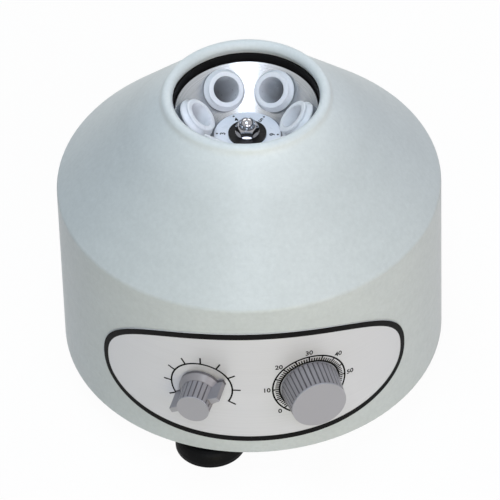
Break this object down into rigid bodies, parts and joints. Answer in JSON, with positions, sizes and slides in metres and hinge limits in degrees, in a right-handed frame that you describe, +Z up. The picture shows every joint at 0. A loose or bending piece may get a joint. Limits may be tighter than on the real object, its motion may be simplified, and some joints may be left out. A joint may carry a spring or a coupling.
{
  "type": "bench centrifuge",
  "caption": "Bench centrifuge: conical painted casing with an open round mouth, tilted plastic tubes in a spun rotor, two front knobs on a curved label plate, suction feet.",
  "frame": {"origin": "on the rotor's spin axis, in the plane of the bench under the feet", "axes": "+Z up along the spin axis, -Y towards the front with the knobs, +X to the operator's right"},
  "size_m": [0.262, 0.2891, 0.2269],
  "materials": {
    "casing_paint": "hammer texture, satin",
    "zinc_steel": "zinc plated",
    "black_rubber": "matt",
    "panel_aluminium": "brushed",
    "cast_aluminium": "as cast",
    "motor_paint": "semi gloss",
    "laminated_iron": "varnished stack",
    "enamelled_copper": "varnished",
    "brush_brass": "plain",
    "carbon": "matt",
    "polished_aluminium": "polished",
    "black_steel": "blackened",
    "chrome_plate": "mirror",
    "disc_plastic": "white with black numbers",
    "milky_plastic": "translucent",
    "knob_plastic": "satin grey",
    "black_plastic": "matt",
    "timer_plastic": "cream",
    "board_laminate": "green",
    "capacitor_sleeve": "blue"
  },
  "bodies": {
    "stand": {"casing_shell": "casing_paint", "base_ring": "zinc_steel", "mouth_gasket": "black_rubber", "control_panel": "panel_aluminium", "base_plate": "zinc_steel", "base_screws": "zinc_steel", "suction_feet": "black_rubber", "foot_screws": "zinc_steel", "lock_nuts": "zinc_steel", "motor_deck": "zinc_steel", "motor_dampers": "black_rubber", "damper_bolts": "zinc_steel", "motor_lower_bell": "cast_aluminium", "motor_housing": "motor_paint", "motor_upper_bell": "cast_aluminium", "motor_tie_bolts": "zinc_steel", "stator_core": "laminated_iron", "field_coils": "enamelled_copper", "lower_bearing": "zinc_steel", "upper_bearing": "zinc_steel", "brush_holders": "brush_brass", "carbon_brushes": "carbon", "brush_springs": "zinc_steel", "brush_caps": "black_plastic", "speed_control": "black_plastic", "timer_body": "timer_plastic", "panel_nuts": "zinc_steel", "circuit_board": "board_laminate", "board_posts": "timer_plastic", "board_screws": "zinc_steel", "power_switch_chip": "black_plastic", "heat_sink": "polished_aluminium", "board_capacitors": "capacitor_sleeve", "suppression_choke": "enamelled_copper", "terminal_block": "board_laminate", "fuse_holder": "black_plastic", "cord_gland": "black_rubber"},
    "rotor": {"motor_shaft": "zinc_steel", "armature_core": "laminated_iron", "armature_windings": "enamelled_copper", "commutator": "enamelled_copper", "cooling_fan": "black_plastic", "rotor_hub": "polished_aluminium", "hub_screws": "black_steel", "rotor_dish": "polished_aluminium", "number_disc": "disc_plastic", "rubber_washer": "black_rubber", "steel_washer": "zinc_steel", "acorn_nut": "chrome_plate"},
    "tube_1": {"tube_1": "milky_plastic"},
    "tube_2": {"tube_2": "milky_plastic"},
    "tube_3": {"tube_3": "milky_plastic"},
    "tube_4": {"tube_4": "milky_plastic"},
    "tube_5": {"tube_5": "milky_plastic"},
    "tube_6": {"tube_6": "milky_plastic"},
    "speed_control_knob": {"speed_knob": "knob_plastic", "speed_shaft": "zinc_steel"},
    "timer_control_knob": {"timer_knob": "knob_plastic", "timer_shaft": "zinc_steel"},
    "fuse_cap_body": {"fuse_cap": "black_plastic"}
  },
  "joints": [
    {"name": "rotor_spin", "type": "hinge", "parent": "stand", "child": "rotor", "pos_m": [0, 0, 0.15], "axis": [0, 0, 1], "continuous": true},
    {"name": "tube_1_lift", "type": "slide", "parent": "rotor", "child": "tube_1", "axis": [-0.3066, 0.6372, 0.7071], "range_m": [0, 0.172]},
    {"name": "tube_2_lift", "type": "slide", "parent": "rotor", "child": "tube_2", "axis": [0.3985, 0.5841, 0.7071], "range_m": [0, 0.172]},
    {"name": "tube_3_lift", "type": "slide", "parent": "rotor", "child": "tube_3", "axis": [0.7051, -0.053, 0.7071], "range_m": [0, 0.172]},
    {"name": "tube_4_lift", "type": "slide", "parent": "rotor", "child": "tube_4", "axis": [0.3066, -0.6372, 0.7071], "range_m": [0, 0.172]},
    {"name": "tube_5_lift", "type": "slide", "parent": "rotor", "child": "tube_5", "axis": [-0.3985, -0.5841, 0.7071], "range_m": [0, 0.172]},
    {"name": "tube_6_lift", "type": "slide", "parent": "rotor", "child": "tube_6", "axis": [-0.7051, 0.053, 0.7071], "range_m": [0, 0.172]},
    {"name": "speed_knob_turn", "type": "hinge", "parent": "stand", "child": "speed_control_knob", "pos_m": [-0.03611, -0.12593, 0.0786], "axis": [0.2756, 0.9613, 0], "range_deg": [0, 240]},
    {"name": "timer_knob_turn", "type": "hinge", "parent": "stand", "child": "timer_control_knob", "pos_m": [0.03611, -0.12593, 0.0777], "axis": [-0.2756, 0.9613, 0], "range_deg": [0, 270]},
    {"name": "fuse_cap_turn", "type": "hinge", "parent": "stand", "child": "fuse_cap_body", "pos_m": [0.02744, 0.12912, 0.0535], "axis": [0.2079, 0.9781, 0], "range_deg": [0, 90]}
  ]
}
